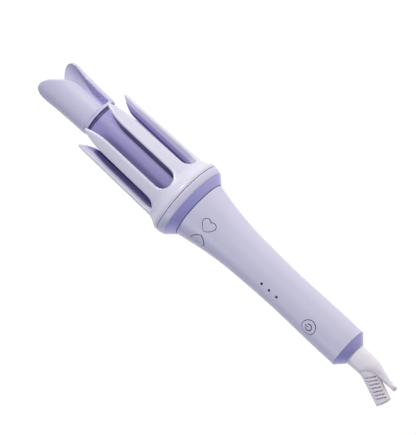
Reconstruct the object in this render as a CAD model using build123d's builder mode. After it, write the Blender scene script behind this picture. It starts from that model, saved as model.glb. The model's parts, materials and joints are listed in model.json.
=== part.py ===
"""Automatic hair curler: a heated barrel that turns inside a fixed six-prong cage on a slim handle.

The tool lies level with its axis along X and the tip toward +X. The control line, with the buttons
and the indicator lights, faces straight up (+Z). The origin is under the middle of the bounding box,
on the surface that the collar rests on. Lengths along the tool are stations in millimetres: 0 is the
seam between the handle and the accent band, positive toward the tip. Turns about the axis are in
degrees: 0 is up, positive is right-handed about +X.
"""

from build123d import *

import math
import os

os.makedirs("parts", exist_ok=True)

# ---------------------------------------------------------------- driving dimensions (mm)

BARREL_R = 16.0  # 32 mm barrel
TIP_END = 161.0  # ends of the petals
PETAL_ROOT = 111.0  # floor of the mouth between the petals
CAP_BASE = 108.6
SEAL_BASE = 106.2
BARREL_BASE = 13.5

CAGE_TIP = 107.4
CAGE_SEAM = 13.8
CAGE_FLOOR = 16.0
CAGE_FLOOR_TOP = 19.0
WINDOW_FOOT = 25.1  # bottom of each window between two prongs
COLLAR_R = 34.3
PRONGS = 6
WINDOW_HALF = 9.0

BAND_TOP = 7.0
HANDLE_END = -162.3
TAIL_END = -169.1
TAIL_R = 10.3
WALL = 2.2  # handle housing wall
FIT = 0.05  # radial clearance of a running fit
SHELL_GAP = 0.1  # parting gap between shells of one body

BUTTON_GAP = 0.5  # gap round each button
BUTTON_RISE = 0.25  # how far the buttons stand proud
HEART_STATION = -18.0
HEART_TURN = 19.0  # each side of the control line
HEART_LENGTH = 11.6  # across the lobes, along the handle
HEART_DEPTH = 9.8  # from the lobes to the point, round the handle
POWER_STATION = -130.0
POWER_R = 5.8
LIGHT_STATIONS = (-79.2, -87.1, -95.0)
LIGHT_R = 1.1

MODULE = 0.5
SUN_TEETH = 12
PLANET_TEETH = 12
RING_TEETH = SUN_TEETH + 2 * PLANET_TEETH
PLANETS = 3
GEAR_FRONT = -40.2
GEAR_WIDTH = 5.8

BOOT_TURN = -58.0  # side that the cord boot bends toward
STRAIN_TILT = 20.5
EYE_R = 2.5  # hanging eye
CORD_BORE_R = 3.5
CHANNEL_R = 3.9  # cord channel through the boot and its neck

AXIS_Z = COLLAR_R
BOOT_REACH = 214.6  # how far the strain relief ends behind the seam
SEAM_X = (BOOT_REACH - TIP_END) / 2

# Outer outline of the handle from its tail to the seam, as (station, radius).
HANDLE_OUTLINE = [
    (HANDLE_END, 17.2),
    (-120.0, 17.1),
    (-92.0, 16.9),
    (-64.0, 17.7),
    (-40.0, 19.1),
    (-17.0, 22.3),
    (-SHELL_GAP, 25.6),
]

# ---------------------------------------------------------------- placing helpers


def on_axis(station):
    """The point on the tool's axis at a station."""
    return Vector(SEAM_X + station, 0, AXIS_Z)


def clock(turn):
    """The unit vector that points away from the axis at a turn."""
    angle = math.radians(turn)
    return Vector(0, -math.sin(angle), math.cos(angle))


def across(station, turn=0.0):
    """A plane square to the axis. Its local x points away from the axis at the turn."""
    return Plane(origin=on_axis(station), x_dir=clock(turn), z_dir=(1, 0, 0))


def facing(station, turn, radius=0.0):
    """A plane that faces away from the axis. Its local x points toward the tip."""
    return Plane(origin=on_axis(station) + clock(turn) * radius, x_dir=(1, 0, 0), z_dir=clock(turn))


LENGTHWISE = Plane(origin=on_axis(0), x_dir=(1, 0, 0), z_dir=(0, -1, 0))
SPIN = Axis(on_axis(0), (1, 0, 0))


def handle_radius(station):
    """The handle's outer radius at a station, by straight steps between the outline's points."""
    for (low, low_r), (high, high_r) in zip(HANDLE_OUTLINE, HANDLE_OUTLINE[1:]):
        if low <= station <= high:
            return low_r + (high_r - low_r) * (station - low) / (high - low)
    raise ValueError("the station is off the handle")


def turned(*outline, mode=Mode.ADD):
    """Revolves a closed outline of (station, radius) points about the axis into the open part."""
    with BuildSketch(LENGTHWISE) as profile:
        with BuildLine():
            Polyline(*outline, close=True)
        make_face()
    revolve(profile.sketch, axis=SPIN, mode=mode)


def tube(start, end, outer, inner=0.0, mode=Mode.ADD):
    """Adds a plain round or hollow cylinder on the axis to the open part."""
    turned((start, inner), (start, outer), (end, outer), (end, inner), mode=mode)


def post(station, turn, radius, size, height, mode=Mode.ADD):
    """Adds a round post that stands on the given radius and points away from the axis."""
    with BuildSketch(facing(station, turn, radius)) as foot:
        Circle(size)
    extrude(foot.sketch, amount=height, mode=mode)


def rod(start, end, turn, offset, size, mode=Mode.ADD):
    """Adds a round rod parallel to the axis, off it by an offset."""
    with BuildSketch(across(start, turn)) as end_face:
        with Locations((offset, 0)):
            Circle(size)
    extrude(end_face.sketch, amount=end - start, mode=mode)


def block(start, end, side_low, side_high, low, high, mode=Mode.ADD):
    """Adds a box by its stations, its extent sideways (+Y) and its height above the axis."""
    size = (end - start, side_high - side_low, high - low)
    middle = on_axis((start + end) / 2) + Vector(0, (side_low + side_high) / 2, (low + high) / 2)
    with Locations(middle):
        Box(*size, mode=mode)


def sector(half_angle, reach, turn, start, end, mode):
    """Keeps or removes the wedge of half_angle each side of a turn, out to a reach."""
    with BuildSketch(across(start, turn)) as wedge:
        with BuildLine():
            rim = CenterArc((0, 0), reach, -half_angle, 2 * half_angle)
            Line((0, 0), rim @ 0)
            Line((0, 0), rim @ 1)
        make_face()
    extrude(wedge.sketch, amount=end - start, mode=mode)


def save(builder, label):
    """Names a finished piece and writes it."""
    builder.part.label = label
    export_step(builder.part, f"parts/{label}.step")


# ---------------------------------------------------------------- guard cage

CAGE_INNER_R = 22.6
RIDGE_R = 19.6  # inner ridge of each prong
CAGE_TIP_R = 28.3
CAGE_FOOT_R = 29.7
FLOOR_HOLE_R = BARREL_R + 0.5
SPIGOT_R = 28.0
PRONG_TAPER = 22.0  # length over which a prong narrows to its tip
WINDOW_TIP_HALF = 13.4
SCREW_CIRCLE_R = 19.0
CAGE_POST_R = 2.3
CAGE_POST_FOOT = -2.9
SCREW_R = 1.1
PILOT_R = 1.15
CAGE_SCREW_TURNS = (30, 150, 270)

with BuildPart() as guard_cage:
    with BuildSketch(LENGTHWISE):
        with BuildLine():
            Polyline(
                (CAGE_TIP, CAGE_TIP_R),
                (CAGE_TIP, RIDGE_R),
                (30.0, RIDGE_R),
                (26.0, CAGE_INNER_R),
                (23.0, CAGE_INNER_R),
                (CAGE_FLOOR_TOP, 20.0),
                (CAGE_FLOOR_TOP, FLOOR_HOLE_R),
                (CAGE_FLOOR, FLOOR_HOLE_R),
                (CAGE_FLOOR, SPIGOT_R),
                (CAGE_SEAM, SPIGOT_R),
                (CAGE_SEAM, COLLAR_R - 0.2),
            )
            ThreePointArc((CAGE_SEAM, COLLAR_R - 0.2), (15.6, COLLAR_R), (17.2, COLLAR_R - 0.3))
            Spline(
                (17.2, COLLAR_R - 0.3),
                (21.5, 31.7),
                (28.0, CAGE_FOOT_R),
                tangents=((1, -0.5), (1, -0.12)),
            )
            Line((28.0, CAGE_FOOT_R), (CAGE_TIP, CAGE_TIP_R))
        make_face()
    revolve(axis=SPIN)
    for number in range(PRONGS):
        with BuildSketch(facing(0, (number + 0.5) * 360 / PRONGS)):
            with BuildLine():
                straight_end = CAGE_TIP - PRONG_TAPER
                foot_centre = WINDOW_FOOT + WINDOW_HALF
                ThreePointArc((foot_centre, WINDOW_HALF), (WINDOW_FOOT, 0), (foot_centre, -WINDOW_HALF))
                Line((foot_centre, WINDOW_HALF), (straight_end, WINDOW_HALF))
                Line((foot_centre, -WINDOW_HALF), (straight_end, -WINDOW_HALF))
                for side in (1, -1):
                    near = (straight_end, side * WINDOW_HALF)
                    far = (CAGE_TIP, side * WINDOW_TIP_HALF)
                    TangentArc(near, far, tangent=(1, 0))
                Polyline(
                    (CAGE_TIP, WINDOW_TIP_HALF),
                    (CAGE_TIP + 1, WINDOW_TIP_HALF),
                    (CAGE_TIP + 1, -WINDOW_TIP_HALF),
                    (CAGE_TIP, -WINDOW_TIP_HALF),
                )
            make_face()
        extrude(amount=COLLAR_R + 1, mode=Mode.SUBTRACT)
    for turn in CAGE_SCREW_TURNS:
        rod(CAGE_POST_FOOT, CAGE_FLOOR + 1, turn, SCREW_CIRCLE_R, CAGE_POST_R)
        rod(CAGE_POST_FOOT, 9.0, turn, SCREW_CIRCLE_R, PILOT_R, mode=Mode.SUBTRACT)
save(guard_cage, "guard_cage")

# ---------------------------------------------------------------- collar and accent band

RING_BORE_R = 22.6
with BuildPart() as collar_ring:
    with BuildSketch(LENGTHWISE):
        with BuildLine():
            Polyline(
                (CAGE_SEAM - 0.3, COLLAR_R - 0.3),
                (CAGE_SEAM - 0.3, SPIGOT_R - SHELL_GAP),
                (CAGE_FLOOR - SHELL_GAP, SPIGOT_R - SHELL_GAP),
                (CAGE_FLOOR - SHELL_GAP, RING_BORE_R),
                (BAND_TOP + SHELL_GAP, RING_BORE_R),
                (BAND_TOP + SHELL_GAP, 32.5),
            )
            ThreePointArc(
                (BAND_TOP + SHELL_GAP, 32.5), (10.2, COLLAR_R - 0.75), (CAGE_SEAM - 0.3, COLLAR_R - 0.3)
            )
        make_face()
    revolve(axis=SPIN)
save(collar_ring, "collar_ring")

with BuildPart() as accent_band:
    turned((0, RING_BORE_R), (0, 25.8), (BAND_TOP, 32.2), (BAND_TOP, RING_BORE_R))
save(accent_band, "accent_band")

# ---------------------------------------------------------------- front bulkhead and bush

BULKHEAD_BACK = -6.0
BULKHEAD_FRONT = -3.0
BULKHEAD_R = 22.0
RIM_R = 22.5
BUSH_R = 11.0
JOURNAL_R = 9.0
JOURNAL_FRONT = 6.5

with BuildPart() as front_bulkhead:
    tube(BULKHEAD_BACK, BULKHEAD_FRONT, BULKHEAD_R, BUSH_R)
    tube(BULKHEAD_FRONT, 5.0, 13.5, BUSH_R)
    tube(BULKHEAD_FRONT, 12.0, RIM_R, RIM_R - 1.0)
    for turn in CAGE_SCREW_TURNS:
        rod(BULKHEAD_BACK - 1, BULKHEAD_FRONT + 1, turn, SCREW_CIRCLE_R, PILOT_R, mode=Mode.SUBTRACT)
save(front_bulkhead, "front_bulkhead")

with BuildPart() as front_bush:
    tube(-5.5, 6.0, BUSH_R, JOURNAL_R + FIT)
save(front_bush, "front_bush")

with BuildPart() as cage_screws:
    for turn in CAGE_SCREW_TURNS:
        rod(BULKHEAD_BACK, 8.0, turn, SCREW_CIRCLE_R, SCREW_R)
        rod(BULKHEAD_BACK - 1.6, BULKHEAD_BACK, turn, SCREW_CIRCLE_R, 2.1)
save(cage_screws, "cage_screws")

# ---------------------------------------------------------------- barrel

TUBE_INNER_R = 14.6
PLUG_BACK = 97.0
CAP_R = 17.8
CAP_WALL = 2.2
TIP_SCREW_R = 1.5

with BuildPart() as barrel_tube:
    tube(BARREL_BASE, SEAL_BASE, BARREL_R, TUBE_INNER_R)
save(barrel_tube, "barrel_tube")

with BuildPart() as tip_seal_ring:
    tube(SEAL_BASE, CAP_BASE, 15.4, 8.0)
save(tip_seal_ring, "tip_seal_ring")

with BuildPart() as end_plug:
    tube(PLUG_BACK, SEAL_BASE, TUBE_INNER_R - SHELL_GAP, TIP_SCREW_R + SHELL_GAP)
    tube(SEAL_BASE, CAP_BASE, 7.9, TIP_SCREW_R + SHELL_GAP)
save(end_plug, "end_plug")

# The cap's two petals are half tubes that lean away from each other, parted by the hair slot.
PETAL_TURNS = (-10.0, 170.0)
SLOT_HALF = 6.2
PETAL_LEAN = ((PETAL_ROOT, 0.0), (128.0, 0.6), (145.0, 1.6), (TIP_END, 3.0))
TONGUE_LENGTH = 27.0
TONGUE_HALF = 17.5

petals = []
for turn in PETAL_TURNS:
    with BuildPart() as petal:
        for size, mode in ((CAP_R, Mode.ADD), (CAP_R - CAP_WALL, Mode.SUBTRACT)):
            for station, lean in PETAL_LEAN:
                with BuildSketch(across(station, turn)):
                    with Locations((lean, 0)):
                        Circle(size)
            loft(mode=mode)
        with BuildSketch(across(PETAL_ROOT, turn)):
            with Locations((SLOT_HALF + CAP_R, 0)):
                Rectangle(2 * CAP_R, 4 * CAP_R)
        extrude(amount=TIP_END - PETAL_ROOT, mode=Mode.INTERSECT)
        with BuildSketch(facing(0, turn)):
            with BuildLine():
                shoulder = TIP_END - TONGUE_LENGTH
                Polyline(
                    (shoulder, TONGUE_HALF),
                    (shoulder, CAP_R + 1),
                    (PETAL_ROOT, CAP_R + 1),
                    (PETAL_ROOT, -CAP_R - 1),
                    (shoulder, -CAP_R - 1),
                    (shoulder, -TONGUE_HALF),
                )
                EllipticalCenterArc(
                    (shoulder, 0), TONGUE_LENGTH, TONGUE_HALF, start_angle=-90, arc_size=180
                )
            make_face()
        extrude(amount=2 * CAP_R, mode=Mode.INTERSECT)
    petals.append(petal.part)

with BuildPart() as tip_cap:
    tube(CAP_BASE, PETAL_ROOT, CAP_R, TIP_SCREW_R + SHELL_GAP)
    with Locations(Location(across(PETAL_ROOT))):
        Cylinder(3.2, 1.0, mode=Mode.SUBTRACT)
    add(petals)
save(tip_cap, "tip_cap")

with BuildPart() as tip_screw:
    tube(99.0, PETAL_ROOT - 0.5, TIP_SCREW_R)
    tube(PETAL_ROOT - 0.5, PETAL_ROOT + 1.2, 2.8)
    with BuildSketch(across(PETAL_ROOT + 1.2)):
        RegularPolygon(1.2, 6)
    extrude(amount=-1.0, mode=Mode.SUBTRACT)
save(tip_screw, "tip_screw")

# Hub that carries the tube and turns in the front bush.
HUB_FLANGE_R = 15.2
SPINDLE_R = 4.0
SPINDLE_BORE_R = 2.8

with BuildPart() as barrel_hub:
    tube(BARREL_BASE, 25.0, TUBE_INNER_R - SHELL_GAP, SPINDLE_R)
    tube(9.0, BARREL_BASE, HUB_FLANGE_R, SPINDLE_R)
    tube(-5.0, 9.0, JOURNAL_R, SPINDLE_R)
save(barrel_hub, "barrel_hub")

with BuildPart() as spindle:
    tube(-38.0, 27.0, SPINDLE_R, SPINDLE_BORE_R)
save(spindle, "spindle")

# Heater: a flat ceramic plate between two half-round aluminium shoes.
HEATER_BACK = 32.0
HEATER_FRONT = 94.0
PLATE_HALF = 1.5
SENSOR_R = 1.2
for label, turn in (("heater_shoe_upper", 0), ("heater_shoe_lower", 180)):
    with BuildPart() as heater_shoe:
        tube(HEATER_BACK, HEATER_FRONT, TUBE_INNER_R - SHELL_GAP)
        with BuildSketch(across(HEATER_BACK, turn)):
            with Locations((PLATE_HALF + CAP_R, 0)):
                Rectangle(2 * CAP_R, 2 * CAP_R)
        extrude(amount=HEATER_FRONT - HEATER_BACK, mode=Mode.INTERSECT)
        rod(HEATER_BACK, HEATER_BACK + 12, turn, 8.0, SENSOR_R + SHELL_GAP, mode=Mode.SUBTRACT)
    save(heater_shoe, label)

with BuildPart() as heater_plate:
    block(HEATER_BACK + 3, HEATER_FRONT - 3, -8.0, 8.0, 0.1 - PLATE_HALF, PLATE_HALF - 0.1)
save(heater_plate, "heater_plate")

with BuildPart() as temperature_sensor:
    rod(HEATER_BACK + 1, HEATER_BACK + 10, 0, 8.0, SENSOR_R)
save(temperature_sensor, "temperature_sensor")

# ---------------------------------------------------------------- slip rings and their contacts

SLEEVE_R = 6.2
SLIP_RING_R = 7.5
SLIP_STATIONS = (-13.0, -18.0, -23.0)
SLIP_WIDTH = 2.4
HOLDER_R = 10.0
CONTACT_HALF_ANGLE = 16.0

with BuildPart() as slip_ring_sleeve:
    tube(-27.0, -9.0, SLEEVE_R, SPINDLE_R)
    for station in (-27.0, -20.5, -15.5, -10.0):
        tube(station, station + 1.0, SLIP_RING_R - 0.1, SLEEVE_R)
save(slip_ring_sleeve, "slip_ring_sleeve")

with BuildPart() as slip_rings:
    for station in SLIP_STATIONS:
        tube(station - SLIP_WIDTH / 2, station + SLIP_WIDTH / 2, SLIP_RING_R, SLEEVE_R)
save(slip_rings, "slip_rings")

with BuildPart() as contact_holder:
    tube(-28.0, -6.0, HOLDER_R, SLIP_RING_R + 0.9)
    tube(-8.0, -6.0, 14.0, HOLDER_R)
    for station in SLIP_STATIONS:
        low = station - SLIP_WIDTH / 2 - SHELL_GAP
        sector(
            CONTACT_HALF_ANGLE + 1, HOLDER_R + 2, 180, low, low + SLIP_WIDTH + 2 * SHELL_GAP, Mode.SUBTRACT
        )
save(contact_holder, "contact_holder")

with BuildPart() as ring_contacts:
    for station in SLIP_STATIONS:
        low = station - SLIP_WIDTH / 2
        tube(low, low + SLIP_WIDTH, HOLDER_R + 0.8, SLIP_RING_R + FIT)
    sector(CONTACT_HALF_ANGLE, HOLDER_R + 2, 180, -28.0, -8.0, Mode.INTERSECT)
save(ring_contacts, "ring_contacts")

# ---------------------------------------------------------------- gears


def involute_angle(radius, base):
    """How far an involute has turned, in radians, where it reaches a radius."""
    if radius <= base:
        return 0.0
    pressure = math.acos(base / radius)
    return math.tan(pressure) - pressure


def gear_outline(teeth, outer, root, thickness, first_turn):
    """Corner points of a gear's outline. Thickness is a tooth's width at the pitch circle."""
    pitch = MODULE * teeth / 2
    base = pitch * math.cos(math.radians(20))
    flank = [root + (outer - root) * step / 4 for step in range(5)]
    half = [thickness / 2 / pitch + involute_angle(pitch, base) - involute_angle(r, base) for r in flank]
    corners = []
    for tooth in range(teeth):
        middle = math.radians(first_turn + 360 * tooth / teeth)
        rising = [(r, middle - h) for r, h in zip(flank, half)]
        falling = [(r, middle + h) for r, h in zip(reversed(flank), reversed(half))]
        corners += [(r * math.cos(a), r * math.sin(a)) for r, a in rising + falling]
    return corners


ADDENDUM = 0.85 * MODULE
DEDENDUM = 1.2 * MODULE
TOOTH = 0.44 * math.pi * MODULE
RING_SPACE = 0.56 * math.pi * MODULE
CENTRE_DISTANCE = MODULE * (SUN_TEETH + PLANET_TEETH) / 2
SUN_PITCH_R = MODULE * SUN_TEETH / 2
RING_PITCH_R = MODULE * RING_TEETH / 2
SHAFT_R = 1.0
GEARBOX_R = 12.4
GEARBOX_FRONT = -36.0
GEARBOX_BACK = -48.6
GEAR_BACK = GEAR_FRONT - GEAR_WIDTH

with BuildPart() as ring_gear:
    tube(GEARBOX_BACK, -38.0, GEARBOX_R, 10.6)
    tube(GEAR_BACK - 0.6, GEAR_FRONT + 0.4, 10.7, 8.0)
    tube(GEARBOX_BACK, GEARBOX_BACK + 1.2, 10.7, 5.0)
    with BuildSketch(across(GEAR_BACK - 1)):
        with BuildLine():
            Polyline(
                *gear_outline(
                    RING_TEETH,
                    RING_PITCH_R + DEDENDUM,
                    RING_PITCH_R - ADDENDUM,
                    RING_SPACE,
                    180 / RING_TEETH,
                ),
                close=True,
            )
        make_face()
    extrude(amount=GEAR_WIDTH + 2, mode=Mode.SUBTRACT)
save(ring_gear, "ring_gear")

with BuildPart() as gearbox_cover:
    tube(-38.0, GEARBOX_FRONT, GEARBOX_R, SPINDLE_R + FIT)
save(gearbox_cover, "gearbox_cover")

with BuildPart() as sun_gear:
    with BuildSketch(across(GEAR_BACK)):
        with BuildLine():
            Polyline(
                *gear_outline(
                    SUN_TEETH, SUN_PITCH_R + ADDENDUM, SUN_PITCH_R - DEDENDUM, TOOTH, 0
                ),
                close=True,
            )
        make_face()
        Circle(SHAFT_R, mode=Mode.SUBTRACT)
    extrude(amount=GEAR_WIDTH)
save(sun_gear, "sun_gear")

PIN_R = 1.0
for number in range(PLANETS):
    planet_turn = number * 360 / PLANETS
    planet_centre = on_axis(GEAR_BACK + 0.1) + clock(planet_turn) * CENTRE_DISTANCE
    with BuildPart() as planet_gear:
        with BuildSketch(Plane(origin=planet_centre, x_dir=clock(planet_turn), z_dir=(1, 0, 0))):
            with BuildLine():
                Polyline(
                    *gear_outline(
                        PLANET_TEETH,
                        SUN_PITCH_R + ADDENDUM,
                        SUN_PITCH_R - DEDENDUM,
                        TOOTH,
                        180 / PLANET_TEETH,
                    ),
                    close=True,
                )
            make_face()
            Circle(PIN_R + FIT, mode=Mode.SUBTRACT)
        extrude(amount=GEAR_WIDTH - 0.2)
    save(planet_gear, f"planet_gear_{number + 1}")

CARRIER_BACK = GEAR_FRONT + 0.2
with BuildPart() as planet_carrier:
    tube(CARRIER_BACK, -38.4, 8.0)
    tube(-38.4, -30.0, SPINDLE_BORE_R - 0.02)
    for number in range(PLANETS):
        rod(CARRIER_BACK - 1, -37.5, number * 360 / PLANETS, CENTRE_DISTANCE, PIN_R, mode=Mode.SUBTRACT)
save(planet_carrier, "planet_carrier")

with BuildPart() as planet_pins:
    for number in range(PLANETS):
        rod(GEAR_BACK - 0.2, -38.4, number * 360 / PLANETS, CENTRE_DISTANCE, PIN_R)
save(planet_pins, "planet_pins")

# ---------------------------------------------------------------- motor

MOTOR_FRONT = -48.8
MOTOR_BACK = -73.0
MOTOR_R = 12.2
CAN_WALL = 1.0

with BuildPart() as motor_can:
    tube(MOTOR_BACK, MOTOR_FRONT, MOTOR_R)
    tube(MOTOR_BACK, MOTOR_FRONT - CAN_WALL, MOTOR_R - CAN_WALL, mode=Mode.SUBTRACT)
    tube(MOTOR_FRONT, MOTOR_FRONT + 0.2, 3.0)
    tube(MOTOR_FRONT - 2, MOTOR_FRONT + 1, SHAFT_R + FIT, mode=Mode.SUBTRACT)
save(motor_can, "motor_can")

with BuildPart() as motor_endcap:
    tube(MOTOR_BACK - 2.5, MOTOR_BACK, MOTOR_R, SHAFT_R + FIT)
    tube(MOTOR_BACK, MOTOR_BACK + 1.5, MOTOR_R - CAN_WALL - SHELL_GAP, SHAFT_R + FIT)
save(motor_endcap, "motor_endcap")

with BuildPart() as motor_magnets:
    tube(-69.0, -52.0, MOTOR_R - CAN_WALL - SHELL_GAP, 9.0)
    for turn in (0, 180):
        sector(30, MOTOR_R, turn, -69.0, -52.0, Mode.SUBTRACT)
save(motor_magnets, "motor_magnets")

with BuildPart() as motor_rotor:
    tube(-68.0, -53.0, 8.4, SHAFT_R)
    for pole in range(3):
        rod(-69.0, -52.0, 60 + pole * 120, 7.6, 1.4, mode=Mode.SUBTRACT)
save(motor_rotor, "motor_rotor")

with BuildPart() as motor_shaft:
    tube(MOTOR_BACK - 2.5, GEAR_FRONT, SHAFT_R)
save(motor_shaft, "motor_shaft")

# ---------------------------------------------------------------- handle housing and cover

COVER_TURN = 180
COVER_HALF = 55.0
LUG_STATIONS = (-32.0, -104.0, -146.0)
COVER_SCREW_R = 1.3
SCREW_HEAD_R = 2.4
REACH = 40.0


def handle_shell():
    """Revolves the handle's wall into the open part."""
    inner = [(station, radius - WALL) for station, radius in HANDLE_OUTLINE]
    with BuildSketch(LENGTHWISE) as wall:
        with BuildLine():
            Spline(*HANDLE_OUTLINE)
            Spline(*inner)
            Line(HANDLE_OUTLINE[0], inner[0])
            Line(HANDLE_OUTLINE[-1], inner[-1])
        make_face()
    revolve(wall.sketch, axis=SPIN)


def heart(grow, turn):
    """A heart on the handle whose point faces the control line, as a sketch facing outward."""
    point_side = 1 if turn > 0 else -1
    half_length = HEART_LENGTH / 2
    half_depth = HEART_DEPTH / 2
    notch = (0, -point_side * 0.68 * half_depth)
    tip = (0, point_side * half_depth)
    with BuildSketch(facing(HEART_STATION, turn)) as shape:
        with BuildLine():
            for side in (1, -1):
                crown = (side * 0.52 * half_length, -point_side * half_depth)
                shoulder = (side * half_length, -point_side * 0.36 * half_depth)
                flank = (side * 0.66 * half_length, point_side * 0.36 * half_depth)
                ThreePointArc(notch, crown, shoulder)
                ThreePointArc(shoulder, flank, tip)
        make_face()
        if grow:
            offset(amount=grow, kind=Kind.ARC)
    return shape.sketch


def power_circle(grow):
    """The power button's outline as a sketch facing outward."""
    with BuildSketch(facing(POWER_STATION, 0)) as shape:
        Circle(POWER_R + grow)
    return shape.sketch


with BuildPart() as handle_housing:
    handle_shell()
    sector(COVER_HALF, REACH, COVER_TURN, HANDLE_END - 1, 1.0, Mode.SUBTRACT)
    for turn in (HEART_TURN, -HEART_TURN):
        extrude(heart(BUTTON_GAP, turn), amount=REACH, mode=Mode.SUBTRACT)
    extrude(power_circle(BUTTON_GAP), amount=REACH, mode=Mode.SUBTRACT)
    for station in LIGHT_STATIONS:
        post(station, 0, 5.0, LIGHT_R + FIT, REACH, mode=Mode.SUBTRACT)
save(handle_housing, "handle_housing")

with BuildPart() as handle_cover:
    handle_shell()
    sector(COVER_HALF - 0.4, REACH, COVER_TURN, HANDLE_END - 1, 1.0, Mode.INTERSECT)
    for station in LUG_STATIONS:
        post(station, COVER_TURN, 5.0, COVER_SCREW_R + SHELL_GAP, REACH, mode=Mode.SUBTRACT)
        seat = handle_radius(station) - 1.2
        post(station, COVER_TURN, seat, SCREW_HEAD_R + SHELL_GAP, 9.0, mode=Mode.SUBTRACT)
save(handle_cover, "handle_cover")

with BuildPart() as cover_screws:
    for station in LUG_STATIONS:
        seat = handle_radius(station) - 1.2
        post(station, COVER_TURN, seat - 6.0, COVER_SCREW_R, 6.0)
        post(station, COVER_TURN, seat, SCREW_HEAD_R, 0.9)
save(cover_screws, "cover_screws")

# Inner frame: a half tube that the motor and board lie in, with a lug for each cover screw.
FRAME_R = 14.1
FRAME_INNER_R = 12.6
FRAME_BACK = -149.0
FRAME_FRONT = -29.0
LUG_START = 12.4
LUG_R = 3.0
LUG_CLEARANCE = 0.9
BOARD_LOW = 6.0
BOARD_HIGH = 7.2

with BuildPart() as board_ribs:
    for station in (-84.0, -114.0, -143.0):
        for side in (-1, 1):
            block(station - 1.5, station + 1.5, side * 9.6 - 1.0, side * 9.6 + 1.0, -12.0, BOARD_LOW)
    tube(FRAME_BACK, FRAME_FRONT, FRAME_R - 0.5, mode=Mode.INTERSECT)

with BuildPart() as inner_frame:
    tube(FRAME_BACK, FRAME_FRONT, FRAME_R, FRAME_INNER_R)
    sector(75, FRAME_R + 1, COVER_TURN, FRAME_BACK, FRAME_FRONT, Mode.INTERSECT)
    add(board_ribs.part)
    for station in LUG_STATIONS:
        lug_end = handle_radius(station) - WALL - LUG_CLEARANCE
        post(station, COVER_TURN, LUG_START, LUG_R, lug_end - LUG_START)
        post(station, COVER_TURN, LUG_START - 1, COVER_SCREW_R + SHELL_GAP, REACH, mode=Mode.SUBTRACT)
save(inner_frame, "inner_frame")

# ---------------------------------------------------------------- boards, switches and lights

BOARD_BACK = -147.0
BOARD_FRONT = -78.0
SWITCH_HALF = 3.0

with BuildPart() as control_board:
    block(BOARD_BACK, BOARD_FRONT, -10.6, 10.6, BOARD_LOW, BOARD_HIGH)
save(control_board, "control_board")

with BuildPart() as board_components:
    block(-108.0, -94.0, -6.0, 6.0, -3.0, BOARD_LOW)
    block(-128.0, -118.0, -7.0, 5.0, -4.0, BOARD_LOW)
    block(-140.5, -134.0, -5.0, 5.0, 3.8, BOARD_LOW)
    rod(-92.0, -80.0, 180, 0.0, 4.2)
    block(-112.0, -104.0, -3.0, 3.0, BOARD_HIGH, 8.8)
save(board_components, "board_components")

with BuildPart() as status_lights:
    for station in LIGHT_STATIONS:
        block(station - 1.0, station + 1.0, -1.0, 1.0, BOARD_HIGH, 8.4)
save(status_lights, "status_lights")

with BuildPart() as light_pipes:
    for station in LIGHT_STATIONS:
        post(station, 0, 8.6, LIGHT_R, handle_radius(station) - 8.6)
save(light_pipes, "light_pipes")

POWER_SWITCH_TOP = 9.9
with BuildPart() as power_switch:
    block(
        POWER_STATION - SWITCH_HALF, POWER_STATION + SWITCH_HALF, -SWITCH_HALF, SWITCH_HALF, BOARD_HIGH, 9.0
    )
    post(POWER_STATION, 0, 9.0, 1.7, POWER_SWITCH_TOP - 9.0)
save(power_switch, "power_switch")

BUTTON_BOARD_LOW = 10.5
BUTTON_BOARD_HIGH = 11.7
TURN_SWITCH_TOP = 14.0
SWITCH_SIDE = 5.1
with BuildPart() as button_board:
    block(-27.0, -9.0, -12.0, 12.0, BUTTON_BOARD_LOW, BUTTON_BOARD_HIGH)
save(button_board, "button_board")

with BuildPart() as turn_switches:
    for side in (-SWITCH_SIDE, SWITCH_SIDE):
        block(
            HEART_STATION - 3, HEART_STATION + 3, side - 2.6, side + 2.6, BUTTON_BOARD_HIGH, 13.3
        )
        with Locations(on_axis(HEART_STATION) + Vector(0, side, (13.3 + TURN_SWITCH_TOP) / 2)):
            Cylinder(1.6, TURN_SWITCH_TOP - 13.3)
save(turn_switches, "turn_switches")

# ---------------------------------------------------------------- buttons


def trimmed_to_handle(lift):
    """Trims the open part to the handle's outer surface, raised by a lift."""
    raised = [(station, radius + lift) for station, radius in HANDLE_OUTLINE]
    with BuildSketch(LENGTHWISE) as inside:
        with BuildLine():
            Spline(*raised)
            Polyline(raised[-1], (raised[-1][0], 0), (raised[0][0], 0), raised[0])
        make_face()
    revolve(inside.sketch, axis=SPIN, mode=Mode.INTERSECT)


HEART_FLANGE_TOP = 17.5
HEART_PIN_END = 15.9
FLANGE_THICK = 0.8
FLANGE_GROW = 0.9
MIDDLE_GAP = 0.3  # each heart button stops this far short of the control plane
for label, turn in (("left_turn_button", HEART_TURN), ("right_turn_button", -HEART_TURN)):
    flange_foot = Location(clock(turn) * (HEART_FLANGE_TOP - FLANGE_THICK))
    beyond = (-MIDDLE_GAP, 8.0) if turn > 0 else (-8.0, MIDDLE_GAP)
    flange_crest = HEART_FLANGE_TOP / math.cos(math.radians(HEART_TURN))
    with BuildPart() as heart_button:
        extrude(heart(0, turn).moved(flange_foot), amount=12.0)
        extrude(heart(FLANGE_GROW, turn).moved(flange_foot), amount=FLANGE_THICK)
        trimmed_to_handle(BUTTON_RISE)
        block(HEART_STATION - 8, HEART_STATION + 8, *beyond, 10.0, flange_crest + 0.2, mode=Mode.SUBTRACT)
        post(HEART_STATION, turn, HEART_PIN_END, 1.2, 1.0)
    save(heart_button, label)

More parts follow.
